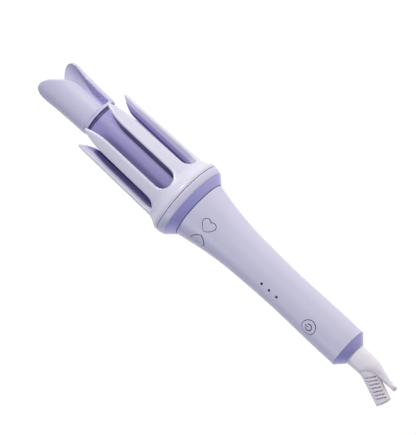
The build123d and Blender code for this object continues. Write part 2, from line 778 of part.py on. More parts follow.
POWER_FLANGE_TOP = 13.3
POWER_PIN_END = 10.6
with BuildPart() as power_button:
    power_foot = Location(clock(0) * (POWER_FLANGE_TOP - FLANGE_THICK))
    extrude(power_circle(0).moved(power_foot), amount=12.0)
    extrude(power_circle(FLANGE_GROW).moved(power_foot), amount=FLANGE_THICK)
    trimmed_to_handle(BUTTON_RISE)
    post(POWER_STATION, 0, POWER_PIN_END, 1.5, POWER_FLANGE_TOP - POWER_PIN_END)
save(power_button, "power_button")

# ---------------------------------------------------------------- tail ring and cord swivel

NECK_R = 9.2
TAIL_SHOULDER = -164.0
FLANGE_R = 11.5
FLANGE_BACK = -163.6
FLANGE_FRONT = -160.5

with BuildPart() as tail_ring:
    turned(
        (TAIL_END, NECK_R + FIT),
        (TAIL_END, TAIL_R),
        (HANDLE_END - SHELL_GAP, 17.1),
        (HANDLE_END - SHELL_GAP, 14.6),
        (-156.0, 14.6),
        (-156.0, 12.2),
        (TAIL_SHOULDER, 12.2),
        (TAIL_SHOULDER, NECK_R + FIT),
    )
save(tail_ring, "tail_ring")

with BuildPart() as contact_block:
    tube(-155.6, -150.0, 14.4)
    rod(-156.0, -149.0, 0, 10.5, 1.5, mode=Mode.SUBTRACT)
save(contact_block, "contact_block")

with BuildPart() as block_contacts:
    rod(-159.2, -155.6, 0, 0.0, 1.2)
    rod(-159.2, -155.6, 180, 8.0, 1.0)
save(block_contacts, "block_contacts")

with BuildPart() as swivel_contacts:
    tube(FLANGE_FRONT, FLANGE_FRONT + 1.0, 2.2)
    tube(FLANGE_FRONT, FLANGE_FRONT + 1.0, 9.2, 6.8)
save(swivel_contacts, "swivel_contacts")

# The boot bends in the plane of the axis and this side vector.
BOOT_SIDE = clock(BOOT_TURN)
BOOT_FLAT = clock(BOOT_TURN + 90)


def boot_point(behind, aside):
    """A point behind the tail ring, off the axis toward the side that the boot bends to."""
    return on_axis(TAIL_END - behind) + BOOT_SIDE * aside


def boot_direction(tilt):
    """A unit vector toward the tail, tilted to the boot's side."""
    angle = math.radians(tilt)
    return Vector(-math.cos(angle), 0, 0) + BOOT_SIDE * math.sin(angle)


def boot_plane(behind, aside, tilt):
    """A plane square to the boot. Its local x runs across the bend."""
    direction = boot_direction(tilt)
    return Plane(origin=boot_point(behind, aside), x_dir=direction.cross(BOOT_FLAT), z_dir=direction)


STRAIN_LENGTH = 28.8
STRAIN_ROOT = (16.3, 2.2)  # behind and aside
STRAIN_START = boot_plane(*STRAIN_ROOT, STRAIN_TILT)
STRAIN_R = 6.4
EYE_BEHIND = 38.7
EYE_RIM_R = 4.9
TAB_MIDDLE = -1.5  # how far aside the hanging tab lies
TAB_HALF = 2.3  # half its thickness

# The hanging tab is flat to the bend, so its eye opens away from the strain relief.
with BuildPart() as hanging_tab:
    with BuildSketch(Plane(origin=boot_point(0, 0), x_dir=(-1, 0, 0), z_dir=-BOOT_FLAT)):
        Polygon(
            (12.0, -8.4),
            (23.0, -7.0),
            (31.0, -4.9),
            (37.0, TAB_MIDDLE - TAB_HALF),
            (EYE_BEHIND + EYE_RIM_R, TAB_MIDDLE - TAB_HALF),
            (EYE_BEHIND + EYE_RIM_R, TAB_MIDDLE + TAB_HALF),
            (12.0, TAB_MIDDLE + TAB_HALF),
            align=None,
        )
    extrude(amount=EYE_RIM_R, both=True)
    with BuildSketch(Plane(origin=boot_point(0, 0), x_dir=(-1, 0, 0), z_dir=BOOT_SIDE)):
        with Locations((EYE_BEHIND / 2, 0)):
            Rectangle(EYE_BEHIND, 2 * EYE_RIM_R)
        with Locations((EYE_BEHIND, 0)):
            Circle(EYE_RIM_R)
            Circle(EYE_R, mode=Mode.SUBTRACT)
    extrude(amount=10.0, both=True, mode=Mode.INTERSECT)

with BuildPart() as swivel_boot:
    tube(FLANGE_BACK, FLANGE_FRONT, FLANGE_R)
    tube(TAIL_END - 1.0, FLANGE_BACK, NECK_R)
    for behind, aside, tilt, wide, deep in (
        (1.0, 0.0, 0, 9.2, 9.2),
        (8.0, -0.3, 3, 9.2, 9.1),
        (15.0, 0.1, 7, 9.1, 8.8),
        (21.5, 1.5, 11, 8.8, 8.0),
    ):
        with BuildSketch(boot_plane(behind, aside, tilt)):
            Ellipse(wide, deep)
    loft()
    add(hanging_tab.part)
    with BuildSketch(STRAIN_START):
        Circle(STRAIN_R + SHELL_GAP)
    extrude(amount=STRAIN_LENGTH, mode=Mode.SUBTRACT)
    with BuildSketch(STRAIN_START):
        Circle(CHANNEL_R)
    extrude(amount=-12.0, mode=Mode.SUBTRACT)
    tube(TAIL_END - 9.0, FLANGE_FRONT - 1.5, CHANNEL_R, mode=Mode.SUBTRACT)
save(swivel_boot, "swivel_boot")

# Strain relief: a sleeve with slanted slots on its two flat sides, between two spines.
SLOTS = 7
SLOT_PITCH = 3.05
SLOT_WIDTH = 1.4
SLOT_DEPTH = 1.4
SLOT_SLANT = 20.0
FIRST_SLOT = 7.2
SPINE_FROM = 4.1  # where each spine starts, off the sleeve's axis

with BuildPart() as strain_relief:
    with BuildSketch(STRAIN_START):
        Circle(STRAIN_R)
    extrude(amount=STRAIN_LENGTH)
    for number in range(SLOTS):
        reach = FIRST_SLOT + number * SLOT_PITCH
        along = boot_direction(STRAIN_TILT) * reach
        slanted = boot_direction(STRAIN_TILT + SLOT_SLANT)
        slot_plane = Plane(STRAIN_START.origin + along, x_dir=slanted.cross(BOOT_FLAT), z_dir=slanted)
        with BuildSketch(slot_plane):
            Circle(STRAIN_R + 2)
            Circle(STRAIN_R - SLOT_DEPTH, mode=Mode.SUBTRACT)
            with Locations((SPINE_FROM + STRAIN_R / 2, 0), (-SPINE_FROM - STRAIN_R / 2, 0)):
                Rectangle(STRAIN_R, 2 * STRAIN_R + 5, mode=Mode.SUBTRACT)
        extrude(amount=SLOT_WIDTH, mode=Mode.SUBTRACT)
    with BuildSketch(STRAIN_START):
        Circle(CORD_BORE_R)
    extrude(amount=STRAIN_LENGTH, mode=Mode.SUBTRACT)
save(strain_relief, "strain_relief")
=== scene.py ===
"""Automatic hair curler: the finished look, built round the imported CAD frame.

Every Blender object is in metres, in the row frame. Lengths along the tool are stations in
millimetres, as in the CAD source: 0 is the seam between the handle and the accent band, positive
toward the petal tip. Turns about the axis are in degrees, 0 up and positive right-handed about +X.
"""

import json
import math

import bmesh
import bpy
from mathutils import Matrix, Vector
from mathutils.bvhtree import BVHTree


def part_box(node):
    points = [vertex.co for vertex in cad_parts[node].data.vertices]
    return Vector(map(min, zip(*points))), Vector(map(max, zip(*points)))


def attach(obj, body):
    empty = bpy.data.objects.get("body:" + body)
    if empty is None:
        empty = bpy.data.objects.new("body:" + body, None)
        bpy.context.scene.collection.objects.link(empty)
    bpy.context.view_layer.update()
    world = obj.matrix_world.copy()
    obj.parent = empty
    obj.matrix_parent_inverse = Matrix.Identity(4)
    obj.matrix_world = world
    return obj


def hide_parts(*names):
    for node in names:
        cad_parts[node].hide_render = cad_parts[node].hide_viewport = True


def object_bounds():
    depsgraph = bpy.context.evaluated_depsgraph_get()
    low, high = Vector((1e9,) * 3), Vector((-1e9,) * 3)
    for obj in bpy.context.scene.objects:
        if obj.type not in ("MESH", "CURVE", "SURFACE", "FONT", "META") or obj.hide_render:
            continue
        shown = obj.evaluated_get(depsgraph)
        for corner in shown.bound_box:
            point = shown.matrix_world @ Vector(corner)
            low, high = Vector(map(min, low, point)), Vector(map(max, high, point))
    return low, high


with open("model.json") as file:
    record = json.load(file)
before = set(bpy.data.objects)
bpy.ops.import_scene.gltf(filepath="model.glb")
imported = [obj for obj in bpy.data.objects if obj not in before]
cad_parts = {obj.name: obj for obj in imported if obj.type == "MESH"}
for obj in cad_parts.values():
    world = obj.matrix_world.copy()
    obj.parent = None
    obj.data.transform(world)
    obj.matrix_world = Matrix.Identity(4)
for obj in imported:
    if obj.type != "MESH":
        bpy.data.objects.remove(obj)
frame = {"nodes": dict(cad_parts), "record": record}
cad_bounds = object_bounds()

MM = 0.001
SEAM_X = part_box("accent_band")[0].x
BARREL_LOW, BARREL_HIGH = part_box("barrel_tube")
AXIS_Y = (BARREL_LOW.y + BARREL_HIGH.y) / 2
AXIS_Z = (BARREL_LOW.z + BARREL_HIGH.z) / 2


def clock(turn):
    """The unit vector that points away from the axis at a turn."""
    angle = math.radians(turn)
    return Vector((0, -math.sin(angle), math.cos(angle)))


def on_axis(station):
    """The point on the tool's axis at a station."""
    return Vector((SEAM_X + station * MM, AXIS_Y, AXIS_Z))


def spot(station, turn, radius):
    """A point by its station, its turn and its distance from the axis in millimetres."""
    return on_axis(station) + clock(turn) * (radius * MM)


# ---------------- camera

FRAME_HEIGHT_MM = 344.0  # what the picture spans from top to bottom at the tool
LENS_MM = 400.0
SENSOR_MM = 36.0
NEAR_CLIP, FAR_CLIP = 0.05, 20
VIEW_STATION = -9.4  # the station that the camera looks at
VIEW_BESIDE_MM = 0.45  # how far beside the axis it looks
VIEW_TURN = 31.8  # turn of the tool's side that faces the camera
TIP_LEAN = 10.0  # how far the tip leans away from the camera
ROLL = 42.85  # angle of the tool's axis below the picture's horizontal


def make_camera():
    """Places the camera so that the tool runs from the upper left to the lower right."""
    lean = math.radians(TIP_LEAN)
    back = clock(VIEW_TURN) * math.cos(lean) - Vector((1, 0, 0)) * math.sin(lean)
    tailward = Vector((-1, 0, 0))
    tailward = (tailward - back * tailward.dot(back)).normalized()
    beside = back.cross(tailward)
    roll = math.radians(ROLL)
    right = tailward * math.cos(roll) + beside * math.sin(roll)
    up = beside * math.cos(roll) - tailward * math.sin(roll)
    distance = FRAME_HEIGHT_MM * MM * LENS_MM / SENSOR_MM
    data = bpy.data.cameras.new("camera")
    data.lens = LENS_MM
    data.sensor_width = SENSOR_MM
    data.clip_start = NEAR_CLIP
    data.clip_end = FAR_CLIP
    camera = bpy.data.objects.new("camera", data)
    target = on_axis(VIEW_STATION) + beside * (VIEW_BESIDE_MM * MM)
    turned = Matrix((right, up, back)).transposed().to_4x4()
    camera.matrix_world = Matrix.Translation(target + back * distance) @ turned
    bpy.context.scene.collection.objects.link(camera)
    bpy.context.scene.camera = camera


make_camera()

# ---------------- materials


def srgb(red, green, blue):
    """A display colour, 0 to 255, as the linear colour that shaders use."""
    linear = []
    for value in (red, green, blue):
        share = value / 255
        linear.append(share / 12.92 if share <= 0.04045 else ((share + 0.055) / 1.055) ** 2.4)
    return (*linear, 1.0)


NOISE_LOW, NOISE_HIGH = 0.3, 0.7  # what nearly all of a noise texture's values lie between
SLOPED, STEEP = 0.5, 0.25  # how squarely a gap's wall faces outward: no painted shade from, full painted shade at


class Shading:
    """A node material with one Principled shader, and short ways to add what plastic needs."""

    def __init__(self, name, colour, roughness, metallic=0.0, specular=0.5):
        self.material = bpy.data.materials.new(name)
        self.material.use_nodes = True
        self.tree = self.material.node_tree
        self.shader = self.tree.nodes["Principled BSDF"]
        self.shader.inputs["Base Color"].default_value = colour
        self.shader.inputs["Roughness"].default_value = roughness
        self.shader.inputs["Metallic"].default_value = metallic
        self.shader.inputs["Specular IOR Level"].default_value = specular
        self.colour = colour
        self.where = self.node("ShaderNodeTexCoord").outputs["Object"]
        self.normal = None

    def node(self, kind, **settings):
        """Adds a node with some of its settings."""
        made = self.tree.nodes.new(kind)
        for key, value in settings.items():
            setattr(made, key, value)
        return made

    def link(self, source, target):
        """Joins an output to an input."""
        self.tree.links.new(source, target)

    def noise(self, size, detail=3.0, stretch=None):
        """Noise with features of a size in metres, and a scale along each axis if given."""
        texture = self.node("ShaderNodeTexNoise")
        texture.inputs["Scale"].default_value = 1 / size
        texture.inputs["Detail"].default_value = detail
        if stretch:
            mapping = self.node("ShaderNodeMapping")
            mapping.inputs["Scale"].default_value = stretch
            self.link(self.where, mapping.inputs["Vector"])
            self.link(mapping.outputs["Vector"], texture.inputs["Vector"])
        else:
            self.link(self.where, texture.inputs["Vector"])
        return texture.outputs["Fac"]

    def ranged(self, value, low, high):
        """Maps a noise value onto a range."""
        mapped = self.node("ShaderNodeMapRange")
        mapped.inputs["From Min"].default_value = NOISE_LOW
        mapped.inputs["From Max"].default_value = NOISE_HIGH
        mapped.inputs["To Min"].default_value = low
        mapped.inputs["To Max"].default_value = high
        self.link(value, mapped.inputs["Value"])
        return mapped.outputs["Result"]

    def vary_colour(self, size, spread, tint):
        """Drifts the colour slowly toward a tint."""
        mix = self.node("ShaderNodeMix", data_type="RGBA")
        mix.inputs["A"].default_value = self.colour
        mix.inputs["B"].default_value = tint
        self.link(self.ranged(self.noise(size), 0.0, spread), mix.inputs["Factor"])
        self.link(mix.outputs["Result"], self.shader.inputs["Base Color"])
        return self

    def stepped(self, value, low, high, top=1.0):
        """Rises smoothly from 0 to top while a value goes from low to high."""
        mapped = self.node("ShaderNodeMapRange", interpolation_type="SMOOTHSTEP")
        mapped.inputs["From Min"].default_value = low
        mapped.inputs["From Max"].default_value = high
        mapped.inputs["To Max"].default_value = top
        self.link(value, mapped.inputs["Value"])
        return mapped.outputs["Result"]

    def combined(self, operation, first, second):
        """A maths node on two outputs: plain for MULTIPLY, on vectors for the rest."""
        kind = "ShaderNodeMath" if operation == "MULTIPLY" else "ShaderNodeVectorMath"
        made = self.node(kind, operation=operation)
        for source, target in zip((first, second), made.inputs):
            self.link(source, target)
        return made

    def off_axis(self):
        """The vector from the tool's axis out to the shaded point."""
        shifted = self.node("ShaderNodeVectorMath", operation="SUBTRACT")
        shifted.inputs[1].default_value = (0, AXIS_Y, AXIS_Z)
        self.link(self.where, shifted.inputs[0])
        flat = self.node("ShaderNodeVectorMath", operation="MULTIPLY")
        flat.inputs[1].default_value = (0, 1, 1)
        self.link(shifted.outputs["Vector"], flat.inputs[0])
        return flat.outputs["Vector"]

    def blend(self, factor, tint):
        """Lays a tint over the colour by a factor."""
        mix = self.node("ShaderNodeMix", data_type="RGBA")
        link = self.shader.inputs["Base Color"].links[0]
        self.link(link.from_socket, mix.inputs["A"])
        mix.inputs["B"].default_value = tint
        self.link(factor, mix.inputs["Factor"])
        self.link(mix.outputs["Result"], self.shader.inputs["Base Color"])
        return self

    def paint_light_and_shade_inside(self, near, far, tint, amount, tipward=None):
        """Tints the walls close to the axis with painted light and shade, from full at radius near
        to none at far.

        tipward, if given, is the pair of stations between which the tint fades out.
        """
        length = self.node("ShaderNodeVectorMath", operation="LENGTH")
        self.link(self.off_axis(), length.inputs[0])
        factor = self.stepped(length.outputs["Value"], far * MM, near * MM, amount)
        if tipward:
            parts = self.node("ShaderNodeSeparateXYZ")
            self.link(self.where, parts.inputs["Vector"])
            start, end = (SEAM_X + station * MM for station in tipward)
            along = self.stepped(parts.outputs["X"], end, start)
            factor = self.combined("MULTIPLY", factor, along).outputs["Value"]
        return self.blend(factor, tint)

    def paint_crowded_shade(self, reach, closed, free, tint, amount):
        """Paints shade on places that other surfaces crowd in on within a reach in metres.

        closed and free are the shares of open surroundings with the full painted shade and with
        none.
        """
        hollow = self.node("ShaderNodeAmbientOcclusion", samples=8)
        hollow.inputs["Distance"].default_value = reach
        return self.blend(self.stepped(hollow.outputs["AO"], free, closed, amount), tint)

    def paint_gap_shade(self, tint):
        """Paints shade on the walls that run straight down into the tool: the gaps round its
        buttons.
        """
        outward = self.node("ShaderNodeVectorMath", operation="NORMALIZE")
        self.link(self.off_axis(), outward.inputs[0])
        facing = self.node("ShaderNodeNewGeometry").outputs["True Normal"]
        dot = self.combined("DOT_PRODUCT", outward.outputs["Vector"], facing)
        size = self.node("ShaderNodeMath", operation="ABSOLUTE")
        self.link(dot.outputs["Value"], size.inputs[0])
        return self.blend(self.stepped(size.outputs["Value"], SLOPED, STEEP), tint)

    def vary_roughness(self, size, low, high):
        """Lets the roughness wander between two values."""
        self.link(self.ranged(self.noise(size, 5.0), low, high), self.shader.inputs["Roughness"])
        return self

    def bump(self, size, depth, detail=2.0, stretch=None):
        """Adds surface grain: features of a size, and a depth, both in metres."""
        lift = self.node("ShaderNodeBump")
        lift.inputs["Strength"].default_value = 1.0
        lift.inputs["Distance"].default_value = depth
        self.link(self.noise(size, detail, stretch), lift.inputs["Height"])
        if self.normal:
            self.link(self.normal, lift.inputs["Normal"])
        self.normal = lift.outputs["Normal"]
        self.link(self.normal, self.shader.inputs["Normal"])
        return self


DRIFT_SIZE, DRIFT_SPREAD = 0.03, 0.35  # the slow drift of a plastic's colour
GRAIN_SIZE, GRAIN_DEPTH = 0.0007, 0.000012  # the grain of a spark-eroded mould
WAVE_SIZE, WAVE_DEPTH = 0.012, 0.00004  # the faint waviness of a moulded wall
LINE_SIZE, LINE_DEPTH = 0.001, 0.00001  # the turned or drawn lines of a metal
COAT_ROUGHNESS = 0.22


def moulded_shading(name, colour, tint, roughness, coat=0.0):
    """Moulded plastic: a slow drift of colour, fine spark-eroded grain and a faint waviness."""
    made = Shading(name, colour, roughness)
    made.vary_colour(DRIFT_SIZE, DRIFT_SPREAD, tint)
    made.vary_roughness(0.004, roughness - 0.05, roughness + 0.07)
    made.bump(GRAIN_SIZE, GRAIN_DEPTH, 3.0)
    made.bump(WAVE_SIZE, WAVE_DEPTH, 1.0)
    made.shader.inputs["Coat Weight"].default_value = coat
    made.shader.inputs["Coat Roughness"].default_value = COAT_ROUGHNESS
    return made


def moulded(name, colour, tint, roughness, coat=0.0):
    """The material of a moulded plastic with nothing added."""
    return moulded_shading(name, colour, tint, roughness, coat).material


def metal(name, colour, roughness, stretch=(1, 12, 12)):
    """Turned or drawn metal with fine lines."""
    made = Shading(name, colour, roughness, metallic=1.0)
    made.vary_roughness(0.002, roughness - 0.08, roughness + 0.1)
    made.bump(LINE_SIZE, LINE_DEPTH, 2.0, stretch)
    return made.material


PALE = srgb(206, 204, 228)
PALE_COOL = srgb(199, 198, 227)
CAGE_PALE = srgb(213, 212, 230)
CAP_PALE = srgb(200, 198, 224)
CAP_PALE_COOL = srgb(193, 192, 223)
VIOLET = srgb(173, 170, 232)
VIOLET_DEEP = srgb(164, 161, 226)
# painted shade for the cage's inner walls and ridges, then painted light for the petals' insides
SHADED_VIOLET = srgb(146, 138, 202)
SHADED_RIDGE = srgb(78, 70, 130)
PAINTED_PETAL_LIGHT = srgb(222, 219, 252)
COATING = srgb(153, 147, 200)
COATING_DEEP = srgb(146, 139, 194)
COATING_SHADE = srgb(14, 13, 84)
# painted shade for the walls of the gaps round the buttons
PAINTED_GAP_SHADE = srgb(44, 38, 84)

# radii in millimetres for painted shade and light: full at the first, none at the second
CAGE_WALL_SHADE = (22.6, 24.6)
CAGE_RIDGE_SHADE = (20.2, 21.2)
PETAL_LIGHT_RADII = (15.7, 17.2)
PETAL_LIGHT_FADE = (115.0, 155.0)  # the stations between which the painted light fades

MATERIALS = {
    # painted shade on the walls of the gaps round the buttons
    "pale_plastic": moulded_shading("pale_plastic", PALE, PALE_COOL, 0.4, 0.1)
    .paint_gap_shade(PAINTED_GAP_SHADE)
    .material,
    "violet_plastic": moulded("violet_plastic", VIOLET, VIOLET_DEEP, 0.34, 0.2),
    # painted shade on the barrel where the prongs crowd in on it, deepening their shadows
    "violet_coating": moulded_shading("violet_coating", COATING, COATING_DEEP, 0.5)
    .paint_crowded_shade(0.008, 0.4, 0.88, COATING_SHADE, 0.92)
    .material,
    "dark_seal": moulded("dark_seal", srgb(84, 78, 134), srgb(70, 64, 118), 0.5),
    "boot_plastic": moulded("boot_plastic", srgb(236, 232, 240), srgb(228, 222, 232), 0.42),
    "boot_rubber": moulded("boot_rubber", srgb(230, 225, 233), srgb(216, 209, 222), 0.5),
    "inner_plastic": moulded("inner_plastic", srgb(190, 190, 192), srgb(170, 170, 176), 0.55),
    "heatproof_plastic": moulded("heatproof_plastic", srgb(38, 36, 40), srgb(58, 54, 60), 0.6),
    "gear_plastic": moulded("gear_plastic", srgb(232, 230, 220), srgb(220, 214, 200), 0.45),
    "brass": metal("brass", srgb(214, 176, 96), 0.3),
    "bronze": metal("bronze", srgb(186, 128, 78), 0.38),
    "steel": metal("steel", srgb(186, 187, 190), 0.3),
    "dark_iron": metal("dark_iron", srgb(74, 73, 78), 0.5),
    "aluminium": metal("aluminium", srgb(208, 209, 212), 0.35),
    "heater_ceramic": moulded("heater_ceramic", srgb(224, 218, 206), srgb(206, 196, 180), 0.6),
    "sensor_glass": moulded("sensor_glass", srgb(176, 112, 66), srgb(150, 86, 50), 0.12, 0.6),
    "board_green": moulded("board_green", srgb(38, 108, 68), srgb(30, 88, 60), 0.4, 0.4),
    "component_black": moulded("component_black", srgb(34, 34, 38), srgb(60, 60, 66), 0.5),
    "light_pipe": moulded("light_pipe", srgb(20, 15, 46), srgb(14, 10, 36), 0.3),
}
GROOVE = moulded("groove_shadow", srgb(70, 64, 116), srgb(60, 54, 104), 0.6)
# painted shade: the prongs' inner walls and ridges darken toward the axis, where shade falls
# between them
CAGE_SKIN = (
    moulded_shading("cage_skin", CAGE_PALE, PALE, 0.4, 0.1)
    .paint_light_and_shade_inside(*CAGE_WALL_SHADE, SHADED_VIOLET, 0.9)
    .paint_light_and_shade_inside(*CAGE_RIDGE_SHADE, SHADED_RIDGE, 0.9)
    .material
)
# painted light: the petals' shaded insides are lightened and turned violet near their root
CAP_SKIN = (
    moulded_shading("cap_skin", CAP_PALE, CAP_PALE_COOL, 0.4, 0.1)
    .paint_light_and_shade_inside(*PETAL_LIGHT_RADII, PAINTED_PETAL_LIGHT, 0.85, PETAL_LIGHT_FADE)
    .material
)


def dress_cad_nodes():
    """Gives every CAD node the material of its slot."""
    slots = {entry["node"]: entry["material_slot"] for entry in frame["record"]["subparts"]}
    for name, node in frame["nodes"].items():
        node.data.materials.clear()
        node.data.materials.append(MATERIALS[slots[name]])


dress_cad_nodes()

# ---------------- mesh helpers


def piece(name, mesh, material, body, slot, *replaced, sharp=None):
    """Makes a finished piece from a mesh, and says what it rides on and stands for."""
    mesh.materials.append(material)
    mesh.shade_smooth()
    if sharp is not None:
        mesh.set_sharp_from_angle(angle=math.radians(sharp))
    made = bpy.data.objects.new(name, mesh)
    bpy.context.scene.collection.objects.link(made)
    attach(made, body)
    if replaced:
        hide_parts(*replaced)
    return made


def mesh_from(name, points, faces):
    """A mesh from points and faces, with its normals made consistent and outward."""
    mesh = bpy.data.meshes.new(name)
    mesh.from_pydata(points, [], faces)
    work = bmesh.new()
    work.from_mesh(mesh)
    bmesh.ops.recalc_face_normals(work, faces=work.faces)
    work.to_mesh(mesh)
    work.free()
    return mesh


def smooth_line(points, samples):
    """Points along a Catmull-Rom curve through (station, value) points, samples to a span."""
    padded = [points[0], *points, points[-1]]
    line = []
    for p0, p1, p2, p3 in zip(padded, padded[1:], padded[2:], padded[3:]):
        for step in range(samples):
            t = step / samples
            line.append(
                tuple(
                    0.5
                    * (
                        2 * b
                        + (c - a) * t
                        + (2 * a - 5 * b + 4 * c - d) * t * t
                        + (3 * b - a - 3 * c + d) * t**3
                    )
                    for a, b, c, d in zip(p0, p1, p2, p3)
                )
            )
    return [*line, points[-1]]


def value_at(line, station):
    """Reads a (station, value) line at a station."""
    for (low, low_value), (high, high_value) in zip(line, line[1:]):
        if low <= station <= high:
            share = (station - low) / (high - low) if high > low else 0.0
            return low_value + (high_value - low_value) * share
    return line[0][1] if station < line[0][0] else line[-1][1]


SIDE_SHARE = 0.45  # the most of a side that one rounded corner takes


def rounded(outline, radius, steps=4):
    """Rounds the corners of a closed (station, radius) outline with parabolic curves."""
    result = []
    befores, afters = outline[-1:] + outline[:-1], outline[1:] + outline[:1]
    for before, corner, after in zip(befores, outline, afters):
        start, middle, end = Vector(before), Vector(corner), Vector(after)
        into, out = start - middle, end - middle
        cut = min(radius, into.length * SIDE_SHARE, out.length * SIDE_SHARE)
        first = middle + into.normalized() * cut
        last = middle + out.normalized() * cut
        for step in range(steps + 1):
            t = step / steps
            result.append(tuple(first * (1 - t) ** 2 + middle * 2 * t * (1 - t) + last * t * t))
    return result


LATHE_SEGMENTS = 160


def lathe(name, outline, segments=LATHE_SEGMENTS):
    """Revolves a closed (station, radius) outline about the tool's axis."""
    points, faces = [], []
    count = len(outline)
    for segment in range(segments):
        turn = 360 * segment / segments
        points += [spot(station, turn, radius) for station, radius in outline]
    for segment in range(segments):
        base, ahead = segment * count, (segment + 1) % segments * count
        for index in range(count):
            after = (index + 1) % count
            faces.append((base + index, base + after, ahead + after, ahead + index))
    return mesh_from(name, points, faces)


def subdivide(made, levels):
    """Rounds a piece with a subdivision surface."""
    modifier = made.modifiers.new("smooth", "SUBSURF")
    modifier.levels = levels
    modifier.render_levels = levels
    return made


# ---------------- fingered rings: cage and petal cap


def fillet(distance, radius):
    """How far a rounded edge has dropped at a distance from it."""
    return radius - math.sqrt(radius**2 - (radius - distance) ** 2) if distance < radius else 0.0


WALL_STEPS = (0.1, 0.5, 0.9)  # support rows across a finger's side walls


def fingered_ring(name, fingers, first_turn, across, ring_outline, rows, outer_point, inner_point):
    """A ring with fingers that stand on it, as one closed mesh for a subdivision surface.

    ring_outline runs from the outer foot of the gaps, round the ring's section, to the inner foot.
    across lists places over a finger from -1 to 1, and rows the stations from just above the foot
    to the tips. outer_point and inner_point give a point from (station, place, finger's turn).
    """
    points, faces = [], []
    last = len(across) - 1
    columns = fingers * last
    half_turn = 180 / fingers

    def add_point(point):
        points.append(point)
        return len(points) - 1

    ring = []
    for station, radius in ring_outline:
        row = []
        for column in range(columns):
            finger, place = divmod(column, last)
            turn = first_turn + finger * 2 * half_turn + across[place] * half_turn
            row.append(add_point(spot(station, turn, radius)))
        ring.append(row)
    for row, following in zip(ring, ring[1:]):
        for column in range(columns):
            after = (column + 1) % columns
            faces.append((row[column], row[after], following[after], following[column]))
    gap_walls = []
    for finger in range(fingers):
        corner = finger * last
        outer, inner = points[ring[0][corner]], points[ring[-1][corner]]
        gap_walls.append([add_point(outer.lerp(inner, step)) for step in WALL_STEPS])
    for finger in range(fingers):
        turn = first_turn + finger * 2 * half_turn
        span = [(finger * last + place) % columns for place in range(last + 1)]
        loop = [ring[0][column] for column in span]
        loop += gap_walls[(finger + 1) % fingers]
        loop += [ring[-1][column] for column in reversed(span)]
        loop += reversed(gap_walls[finger])
        for station in rows:
            outside = [outer_point(station, place, turn) for place in across]
            inside = [inner_point(station, place, turn) for place in across]
            fresh = [add_point(point) for point in outside]
            fresh += [add_point(outside[-1].lerp(inside[-1], step)) for step in WALL_STEPS]
            fresh += [add_point(point) for point in reversed(inside)]
            fresh += [add_point(inside[0].lerp(outside[0], step)) for step in WALL_STEPS]
            size = len(loop)
            for index in range(size):
                after = (index + 1) % size
                faces.append((loop[index], loop[after], fresh[after], fresh[index]))
            loop = fresh
        faces.append(tuple(loop))
    return mesh_from(name, points, faces)


CAGE_TIP = 107.4
WINDOW_FOOT = 25.1
WINDOW_HALF = 9.0
WINDOW_TIP_HALF = 13.3
PRONGS = 6
PRONG_TAPER = 22.0  # the length over which the prongs narrow to their tips
PRONG_EDGE = 1.7  # rounding of the prongs' outer edges
PRONG_EDGE_RUN = 4.0  # the length over which that rounding grows from the window's foot
PRONG_LEAST_TURN = 0.5  # the least half turn that a prong's tip covers
PRONG_LEAST_GAP = 0.25  # keeps the inner walls from meeting where the prong narrows
PRONG_PLACES = (-1.0, -0.965, -0.88, -0.72, -0.4, 0.0, 0.4, 0.72, 0.88, 0.965, 1.0)
CAGE_OUTSIDE = smooth_line(
    [
        (13.8, 33.9),
        (14.3, 34.15),
        (15.6, 34.3),
        (17.0, 34.05),
        (19.0, 33.0),
        (22.0, 31.3),
        (25.1, 30.3),
        (29.0, 29.65),
        (60.0, 29.1),
        (107.4, 28.3),
    ],
    6,
)
CAGE_INSIDE = [(19.0, 22.6), (25.5, 22.6), (30.0, 18.8), (107.4, 18.8)]
CAGE_FOOT = [  # the ring's section from its outer edge, round its seat and flange, to its inside
    (13.85, 33.4),
    (13.85, 28.4),
    (14.2, 28.0),
    (15.7, 28.0),
    (16.0, 27.6),
    (16.0, 17.0),
    (16.3, 16.5),
    (18.7, 16.5),
    (19.0, 17.0),
    (19.3, 20.2),
    (20.2, 21.6),
    (22.5, 22.45),
]
SHAFT_ROWS = [38.0, 48.0, 60.0, 72.0, 82.0, 88.0, 92.0, 96.0, 99.5, 102.5, 105.0, 106.6, 107.3]


def window_half(station):
    """Half the width of a window: round at its foot, and opening out where the prongs taper."""
    into = WINDOW_FOOT + WINDOW_HALF - station
    if into > 0:
        return math.sqrt(max(WINDOW_HALF**2 - into**2, 0.0))
    share = max(0.0, (station - (CAGE_TIP - PRONG_TAPER)) / PRONG_TAPER)
    return WINDOW_HALF + (WINDOW_TIP_HALF - WINDOW_HALF) * share**2


def prong_half_turn(station, radius):
    """Half the turn that a prong covers between two windows with parallel sides."""
    window = math.degrees(math.asin(window_half(station) / radius))
    return max(180 / PRONGS - window, PRONG_LEAST_TURN)


def prong_outside(station, place, turn):
    """A point of a prong's outer face, with its edges rounded off."""
    radius = value_at(CAGE_OUTSIDE, station)
    half = prong_half_turn(station, radius)
    to_side = math.radians(half) * radius * (1 - abs(place))
    ease = min(1.0, (station - WINDOW_FOOT) / PRONG_EDGE_RUN)
    drop = fillet(min(to_side, CAGE_TIP - station), PRONG_EDGE) * ease
    return spot(station, turn + half * place, radius - drop)


def prong_inside(station, place, turn):
    """A point of a prong's inner face, which lies further out where the prong narrows."""
    narrowed = 2 * window_half(station) + PRONG_LEAST_GAP
    radius = max(value_at(CAGE_INSIDE, station), narrowed)
    return spot(station, turn + prong_half_turn(station, radius) * place, radius)


